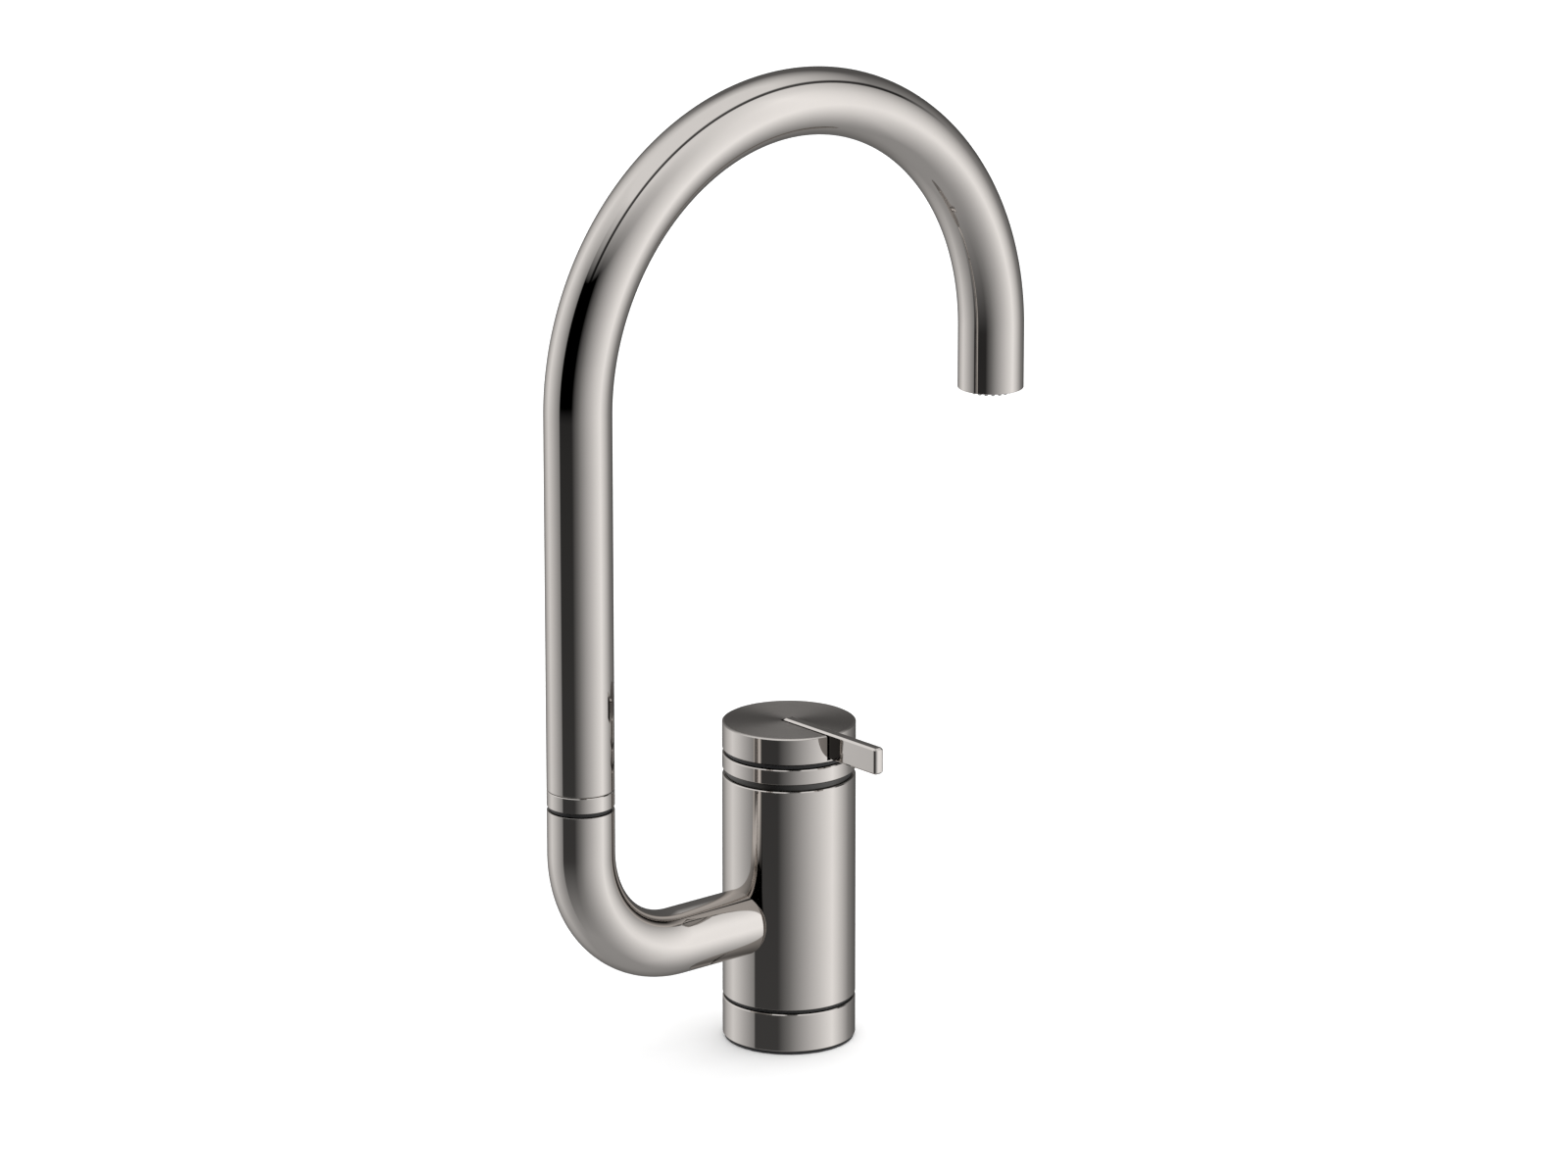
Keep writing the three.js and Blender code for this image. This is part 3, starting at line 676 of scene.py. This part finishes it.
def ceiling_gap(n, y, z, rise):
    """1 on the ceiling panels and the walls, 0 in the gap between the panels."""
    forward = n.math("MULTIPLY", y, math.cos(GAP_TILT))
    across = n.math("ADD", forward, n.math("MULTIPLY", z, math.sin(GAP_TILT)))
    front = n.span(across, *GAP_FRONT, 1.0, 0.08)
    back = n.span(across, *GAP_BACK, 0.0, 1.0)
    return n.mix(n.span(rise, 10, 22), 1.0, n.math("MAXIMUM", front, back))


def make_world():
    """Mirrors see the studio; the camera and matt surfaces see an even white backdrop."""
    world = bpy.data.worlds.new("studio")
    bpy.context.scene.world = world
    world.use_nodes = True
    world.node_tree.nodes.clear()
    n = Nodes(world.node_tree)
    toward = n.add("ShaderNodeTexCoord").outputs["Generated"]
    x, y, z = n.add("ShaderNodeSeparateXYZ", {0: toward}).outputs
    azimuth = n.span(n.math("ARCTAN2", x, n.math("MULTIPLY", y, -1)), -math.pi, math.pi)
    rise = n.math("MULTIPLY", n.math("ARCSINE", z), 180 / math.pi)
    light = n.mix(n.span(rise, *WALL_FOOT), FLOOR_LIGHT, wall_ring(n, azimuth))
    light = n.mix(n.span(rise, *WALL_HEAD), light, CEILING_LIGHT)
    lit = n.add("ShaderNodeMix", data_type="RGBA", blend_type="MULTIPLY")
    n.put(lit, 0, 1.0)
    n.put(lit, 6, light)
    n.put(lit, 7, ceiling_gap(n, y, z, rise))
    studio = n.add("ShaderNodeBackground", {"Color": lit.outputs[2], "Strength": 1.0})
    backdrop = n.add("ShaderNodeBackground", {"Color": (1, 1, 1, 1), "Strength": BACKDROP_LIGHT})
    path = n.add("ShaderNodeLightPath")
    plain = n.math("MAXIMUM", path.outputs["Is Camera Ray"], path.outputs["Is Diffuse Ray"])
    mixed = n.add("ShaderNodeMixShader", {0: plain, 1: studio.outputs[0], 2: backdrop.outputs[0]})
    out = n.add("ShaderNodeOutputWorld")
    world.node_tree.links.new(mixed.outputs[0], out.inputs[0])


FLOOR_R = 8.0


def make_floor():
    """A plain pale floor under the faucet, which mirrors do not show."""
    bm = bmesh.new()
    bmesh.ops.create_circle(bm, cap_ends=True, segments=96, radius=FLOOR_R)
    mesh = bpy.data.meshes.new("floor")
    bm.to_mesh(mesh)
    bm.free()
    floor = bpy.data.objects.new("floor", mesh)
    bpy.context.scene.collection.objects.link(floor)
    material, n, shader, here = new_material("pale_floor", 0.0, Roughness=0.9)
    grain = n.noise(here, 40, 3)
    n.put(shader, "Base Color", n.mix(grain, (0.84, 0.84, 0.84, 1), (0.88, 0.88, 0.88, 1)))
    mesh.materials.append(material)
    floor.visible_glossy = False


SOFTBOX_SIZE = 2.4
SOFTBOX_POWER = 9
SOFTBOX_PLACE = (0.5, -0.2, 2.2)


def make_lights():
    """One large overhead softbox that whitens the floor and leaves only a faint soft shadow."""
    data = bpy.data.lights.new("overhead", "AREA")
    data.shape = "DISK"
    data.size = SOFTBOX_SIZE
    data.energy = SOFTBOX_POWER
    light = bpy.data.objects.new("overhead", data)
    light.location = SOFTBOX_PLACE
    light.rotation_euler = (Vector((0, 0, 0)) - light.location).to_track_quat("-Z", "Y").to_euler()
    light.visible_glossy = False
    light.visible_camera = False
    bpy.context.scene.collection.objects.link(light)


CAMERA_PLACE = (-2.04276, -2.35898, 1.11399)
CAMERA_AIM = (-0.0016, 0.00139, 0.2002)
CAMERA_LENS = 175.88


def make_camera():
    data = bpy.data.cameras.new("camera")
    data.lens = CAMERA_LENS
    data.sensor_width = 36
    data.clip_end = 50
    camera = bpy.data.objects.new("camera", data)
    camera.location = CAMERA_PLACE
    camera.rotation_euler = (Vector(CAMERA_AIM) - camera.location).to_track_quat("-Z", "Y").to_euler()
    bpy.context.scene.collection.objects.link(camera)
    bpy.context.scene.camera = camera


def dress_cad_nodes():
    """Gives the CAD solids under the pieces the same finishes as the pieces."""
    for name, node in frame["nodes"].items():
        node.data.materials.clear()
        node.data.materials.append(MATERIALS[SLOT_OF[name]])


# ---- Inner parts ---------------------------------------------------------------------------------
PIPES = {"hot_pipe": (5.5, -10.5), "cold_pipe": (5.5, 10.5), "mixed_pipe": (12.4, 0)}
TIE_Y = 21


def drill(holes):
    """Several upright holes in one mesh: (radius, z0, z1, x, y) in millimetres."""
    bm = bmesh.new()
    for r, z0, z1, x, y in holes:
        lathe(in_mm([(0, z0), (r, z0), (r, z1), (0, z1)]), x * MM, y * MM, 48, False, bm)
    return bm


def make_foot():
    profile = [(0, 0), (17, 0), (17, 1.4), (24.8, 1.4), (24.8, 16), (0, 16)]
    foot = dress("mounting_foot", lathe(in_mm(profile), steps=128, closed=False), bevel=0.3)
    holes = [(4.2, -1, 17, x, y) for x, y in PIPES.values()]
    combine(foot, drill([(6.4, -1, 17, -9, 0), *holes]))
    bm = bmesh.new()
    for y in (-TIE_Y, TIE_Y):
        stepped = [(0, -1), (3.5, -1), (3.5, 4.4), (2.2, 4.4), (2.2, 17), (0, 17)]
        lathe(in_mm(stepped), 0, y * MM, 48, False, bm)
    combine(foot, bm)
    for node, y in (("tie_screw_front", -TIE_Y), ("tie_screw_back", TIE_Y)):
        socket = [(0, 3.2), (1.5, 3.2, hexagon), (1.5, 1.6, hexagon)]
        shank = [(1.9, 4.1), (1.9, 20), *thread(1.9, 0.28, 20.4, 80.4, 0.8), (1.2, 81), (0, 81)]
        profile = in_mm([*socket, (3.1, 1.6), (3.1, 4.1), *shank])
        dress(node, lathe(profile, y=y * MM, steps=36, closed=False), bevel=0)


def make_valve():
    cup = [(0, 72), (24.6, 72), (24.6, 86), (23.9, 86.6), (23.9, 90), (24.6, 90.6), (24.6, 103.8),
           (16.4, 103.8), (16.4, 76), (0, 76)]
    body = dress("valve_body", lathe(in_mm(cup), steps=128, closed=False), bevel=0.3)
    ports = [(2.6, 71, 78, x, y) for x, y in PIPES.values()]
    combine(body, drill(ports + [(2.2, 71, 82, 0, y) for y in (-TIE_Y, TIE_Y)]))
    for node, (x, y) in PIPES.items():
        bead = [(3.9, 5.2), (3.55, 5.6), (3.55, 66.4), (3.9, 66.8), (3.9, 71.7)]
        profile = in_mm([(2.6, 1.5), (3.9, 1.5), *bead, (2.6, 71.7)])
        dress(node, lathe(profile, x * MM, y * MM, 48))


def make_cartridge():
    sleeve = [(9, 77.4), (16, 77.4), (16, 81), (15.5, 81.4), (15.5, 83), (16, 83.4), (16, 92),
              (15.5, 92.4), (15.5, 94), (16, 94.4), (16, 97.5), (12.5, 97.5), (12.5, 114),
              (4.3, 114), (4.3, 101), (9, 101)]
    dress("cartridge_sleeve", lathe(in_mm(sleeve), steps=96))
    nut = [(12.8, 97.8), *thread(16.1, 0.5, 97.8, 104.2, 1.0), (16.1, 104.2), (19, 104.2, hexagon),
           (19, 110, hexagon), (12.8, 110)]
    dress("cartridge_nut", lathe(in_mm(nut), steps=144), bevel=0.25)
    o_ring("cartridge_seal")
    spool = [(0, 81), (8.2, 81), (8.2, 83), (6.4, 83), (6.4, 85.2), (8.2, 85.2), (8.2, 87),
             (7.2, 87.8), (7.2, 88.8), (8.2, 89.6), (8.2, 91), (6.4, 91), (6.4, 93.2), (8.2, 93.2),
             (8.2, 95.5), (4, 95.5), (4, 128), (0, 128)]
    stem = dress("valve_stem", lathe(in_mm(spool), steps=96, closed=False), bevel=0.12)
    combine(stem, box_mesh((-5 * MM, 5 * MM), (-5.8 * MM, 3.2 * MM), (127 * MM, 137 * MM)), "UNION")
    combine(stem, box_mesh((-2.8 * MM, 2.8 * MM), (-8 * MM, 8 * MM), (129 * MM, 138 * MM)))
    combine(stem, box_mesh((-6 * MM, 6 * MM), (-4.7 * MM, 0.8 * MM), (133.6 * MM, 136.4 * MM)))
    o_ring("piston_seal_lower")
    o_ring("piston_seal_upper")


def cross_pin(node, radius, length, place):
    half = length / 2
    edge = 0.25
    profile = [(0, -half), (radius - edge, -half), (radius, edge - half), (radius, half - edge),
               (radius - edge, half), (0, half)]
    dress(node, across_x(lathe(in_mm(profile), steps=48, closed=False), place), bevel=0)


def make_pins():
    cross_pin("lever_pivot_pin", 1.1, 13.8, PIVOT)
    cross_pin("link_pin", 1.1, 9.4, LINK)
    for node in ("pivot_washer_left", "pivot_washer_right"):
        place = (middle(node).x, PIVOT[1], PIVOT[2])
        washer = lathe(in_mm([(1.35, -0.25), (1.9, -0.25), (1.9, 0.25), (1.35, 0.25)]), steps=48)
        dress(node, across_x(washer, place), bevel=0.05)
    lo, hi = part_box("cap_circlip")
    dress("cap_circlip", open_ring(20.35 * MM, hi.x, lo.z, hi.z, 0, 100, 440), bevel=0.08)


def make_spigot():
    outside = [(6.6, 111), (12.1, 111), (12.1, 126), (9.8, 126)]
    for z in (149.6, 156.6):
        outside += [(9.8, z), (8.4, z), (8.4, z + 2.4), (9.8, z + 2.4)]
    outside += [(9.8, 163.9), (8.6, 163.9), (8.6, 165.3), (9.8, 165.3), (9.8, 168), (6.6, 168)]
    spigot = dress("swivel_spigot", lathe(in_mm(outside), x=SWIVEL_X, steps=96), bevel=0.15)
    combine(spigot, open_ring(8.1 * MM, 11.8 * MM, 129.7 * MM, 133.3 * MM, SWIVEL_X, -12, 192))
    o_ring("swivel_seal_lower", SWIVEL_X)
    o_ring("swivel_seal_upper", SWIVEL_X)
    lo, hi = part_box("spigot_circlip")
    dress("spigot_circlip", open_ring(8.8 * MM, 12.2 * MM, lo.z, hi.z, SWIVEL_X, 100, 435), bevel=0.08)


def screw_hole():
    profile = in_mm([(0, 0), (1.9, 0), (1.9, 20), (0, 20)])
    return across_y(lathe(profile, steps=48, closed=False), (SWIVEL_X, 0, middle("spout_stop_screw").z))


def make_spout_inside():
    insert = [(11, 128.2), (12.8, 128.2), (12.8, 136), (12.5, 136.4), (12.5, 158), (12.8, 158.4),
              (12.8, 163.7), (11, 163.7)]
    combine(dress("spout_insert", lathe(in_mm(insert), x=SWIVEL_X, steps=96)), screw_hole())
    bush = [(10.05, 137), (10.75, 137), (10.75, 148.6), (10.05, 148.6)]
    dress("swivel_bush", lathe(in_mm(bush), x=SWIVEL_X, steps=96))
    shank = reversed(thread(1.5, 0.15, 9.2, 13.7, 0.5))
    screw = [(0, 12.6), (0.8, 12.6, hexagon), (0.8, 14, hexagon), (1.3, 14), *shank, (1.1, 8.5), (0, 8.5)]
    place = (SWIVEL_X, 0, middle("spout_stop_screw").z)
    dress("spout_stop_screw", across_y(lathe(in_mm(screw), steps=48, closed=False), place), bevel=0)
    for node, inner in (("dock_sleeve", 12.1), ("dock_magnet", 9.2)):
        lo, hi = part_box(node)
        dress(node, band(inner * MM, (hi.x - lo.x) / 2, lo.z, hi.z, x=OUTLET_X, steps=96))


# ---- Sprayhead and hose --------------------------------------------------------------------------
TIP_COUNT = 20
TIP_CIRCLE = 9.4 * MM


def make_spray_face():
    rim = [(3, 269.7), (3.3, 269.4), (7.6, 269.4), (7.9, 269.7), (8.4, 269.7), (8.6, 269.4),
           (10.2, 269.4), (10.2, 272.4), (3, 272.4)]
    face = dress("spray_face", lathe(in_mm(rim), x=OUTLET_X, steps=120), bevel=0.08)
    tip = [(0, 267.6), (0.3, 267.3), (0.4, 267.05), (0.6, 267), (0.74, 267.15), (0.8, 267.5),
           (0.8, 270.4), (0, 270.4)]
    tips = bmesh.new()
    for i in range(TIP_COUNT):
        a = 2 * math.pi * i / TIP_COUNT
        centre = (OUTLET_X + TIP_CIRCLE * math.cos(a), TIP_CIRCLE * math.sin(a))
        lathe(in_mm(tip), *centre, 16, False, tips)
    combine(face, tips, "UNION")


def make_sprayhead():
    grip = []
    for i in range(6):
        z = 274 + 2.6 * i
        grip += [(11.8, z), (11.5, z + 0.4), (11.5, z + 1.2), (11.8, z + 1.6)]
    shell = [(10.4, 269.2), (11.8, 269.2), *grip, (11.8, 294.4), (10.6, 295.6), (8.6, 295.6),
             (8.6, 303.9), (7.2, 303.9), (7.2, 294.2), (10.4, 294.2)]
    dress("sprayhead_shell", lathe(in_mm(shell), x=OUTLET_X, steps=128), bevel=0.12)
    make_spray_face()
    o_ring("face_seal", OUTLET_X)
    ribs = [(1, 273.8)]
    for i in range(8):
        r = 1.6 + i * 1.05
        ribs += [(r, 273.8), (r + 0.2, 274.05), (r + 0.5, 274.05), (r + 0.7, 273.8)]
    screen = in_mm([*ribs, (10, 273.8), (10, 274.6), (1, 274.6)])
    dress("flow_screen", lathe(screen, x=OUTLET_X, steps=72), bevel=0)
    valve = [(2.5, 275.5), (6.4, 275.5), (7.2, 276.3), (7.2, 279), (6.7, 279.4), (6.7, 280.6),
             (7.2, 281), (7.2, 286.7), (6.4, 287.5), (2.5, 287.5)]
    dress("check_valve", lathe(in_mm(valve), x=OUTLET_X, steps=72))
    magnet = in_mm([(7.5, 289), (10.1, 289), (10.1, 293.8), (7.5, 293.8)])
    dress("head_magnet_ring", lathe(magnet, x=OUTLET_X, steps=72))
    nut = [(3.4, 304.2), (7.4, 304.2), (8.2, 304.9, hexagon), (8.2, 310.3, hexagon), (7.0, 311), (3.4, 311)]
    dress("hose_nut", lathe(in_mm(nut), x=OUTLET_X, steps=96), bevel=0.15)
    ball = [(1.8, 294.95)]
    for i in range(25):
        a = math.radians(-65 + 115 * i / 24)
        ball.append((5 * math.cos(a), 299.5 + 5 * math.sin(a)))
    barbs = [(3.1, 304), (3.1, 307), (2.7, 307.2), (3.1, 309.2), (2.7, 309.4), (3.1, 311.4),
             (2.7, 311.6), (3.1, 313.6), (2.6, 316.2), (1.8, 316.2)]
    dress("hose_ball", lathe(in_mm(ball + barbs), x=OUTLET_X, steps=72), bevel=0)
    ferrule = [(5.2, 311.4), (6.2, 311.4), (6.2, 312.6), (5.8, 313.1), (6.1, 313.9), (5.8, 314.7),
               (6.1, 315.5), (5.8, 316.3), (6.2, 317), (6.2, 319), (5.2, 319)]
    dress("hose_ferrule", lathe(in_mm(ferrule), x=OUTLET_X, steps=72), bevel=0.06)


def catmull(points, per_span):
    """A centripetal curve through the points, as (centre, direction) stations."""
    pts = [Vector(p) for p in points]
    pts = [pts[0] * 2 - pts[1], *pts, pts[-1] * 2 - pts[-2]]
    made = []
    for p0, p1, p2, p3 in zip(pts, pts[1:], pts[2:], pts[3:]):
        t0 = 0.0
        t1 = t0 + (p1 - p0).length ** 0.5
        t2 = t1 + (p2 - p1).length ** 0.5
        t3 = t2 + (p3 - p2).length ** 0.5
        for i in range(per_span):
            t = t1 + (t2 - t1) * i / per_span
            a1 = p0 * ((t1 - t) / (t1 - t0)) + p1 * ((t - t0) / (t1 - t0))
            a2 = p1 * ((t2 - t) / (t2 - t1)) + p2 * ((t - t1) / (t2 - t1))
            a3 = p2 * ((t3 - t) / (t3 - t2)) + p3 * ((t - t2) / (t3 - t2))
            b1 = a1 * ((t2 - t) / (t2 - t0)) + a2 * ((t - t0) / (t2 - t0))
            b2 = a2 * ((t3 - t) / (t3 - t1)) + a3 * ((t - t1) / (t3 - t1))
            made.append(b1 * ((t2 - t) / (t2 - t1)) + b2 * ((t - t1) / (t2 - t1)))
    made.append(pts[-2])
    ends = [made[0], *made, made[-1]]
    return [(c, (b - a).normalized()) for c, a, b in zip(made, ends, ends[2:])]


HOSE_R = 4.55 * MM
HOSE_START = 316.6 * MM
DROP_TOP = 326 * MM
HOSE_BEND_R = 37 * MM
HOSE_FOOT_X = -9 * MM


def make_hose():
    """The hose stays with the spout, except for a short straight length above the sprayhead, which rides on
    no body.
    """
    arch = [math.radians(a) for a in (28, 50, 75, 105, 130, 155)]
    route = [(OUTLET_X, 0, DROP_TOP)]
    route += [(OFFSET * math.cos(a), 0, ARCH_Z + OFFSET * math.sin(a)) for a in arch]
    route += [(SWIVEL_X, 0, ARCH_Z), (SWIVEL_X, 0, 240 * MM), (SWIVEL_X, 0, 190 * MM),
              (SWIVEL_X, 0, 147.3 * MM)]
    dress("hose_in_spout", swept_rod(catmull(route, 12), HOSE_R), bevel=0)
    drop = line_stations((OUTLET_X, 0, DROP_TOP + 1 * MM), (OUTLET_X, 0, HOSE_START), 40)
    rod = swept_rod(drop, HOSE_R - 0.03 * MM)
    obj = piece("hose_drop_look", rod, "hose_drop", None, ["hose_in_spout"])
    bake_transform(obj)
    elbow = (SWIVEL_X + ELBOW_R, ARM_Z + ELBOW_R)
    bend = HOSE_BEND_R
    foot_x = HOSE_FOOT_X
    stations = line_stations((SWIVEL_X, 0, 147 * MM), (SWIVEL_X, 0, elbow[1]), 6)
    stations += arc_stations(elbow, ELBOW_R, 180, 270, 30)[1:]
    stations += line_stations((elbow[0], 0, ARM_Z), (foot_x - bend, 0, ARM_Z), 4)[1:]
    stations += arc_stations((foot_x - bend, ARM_Z - bend), bend, 90, 0, 24)[1:]
    dress("hose_in_arm", swept_rod(stations, HOSE_R), bevel=0)
    connector = [(0, 1.6), (4.2, 1.6), (4.2, 4), (5.9, 4, hexagon), (5.9, 10, hexagon), (4.6, 11.4),
                 (4.6, 12.4), (4.3, 12.8), (4.6, 14.2), (4.3, 14.6), (4.6, 16), (4.3, 16.4),
                 (4.6, 19.4), (0, 19.4)]
    dress("hose_connector", lathe(in_mm(connector), x=foot_x, steps=72, closed=False), bevel=0.08)


make_camera()
make_world()
make_lights()
make_floor()
dress_cad_nodes()
make_base()
make_bonnet()
make_arm()
make_cap()
make_lever()
make_swivel()
make_spout()
make_foot()
make_valve()
make_cartridge()
make_pins()
make_spigot()
make_spout_inside()
make_sprayhead()
make_hose()
bpy.context.scene.view_settings.view_transform = "Standard"
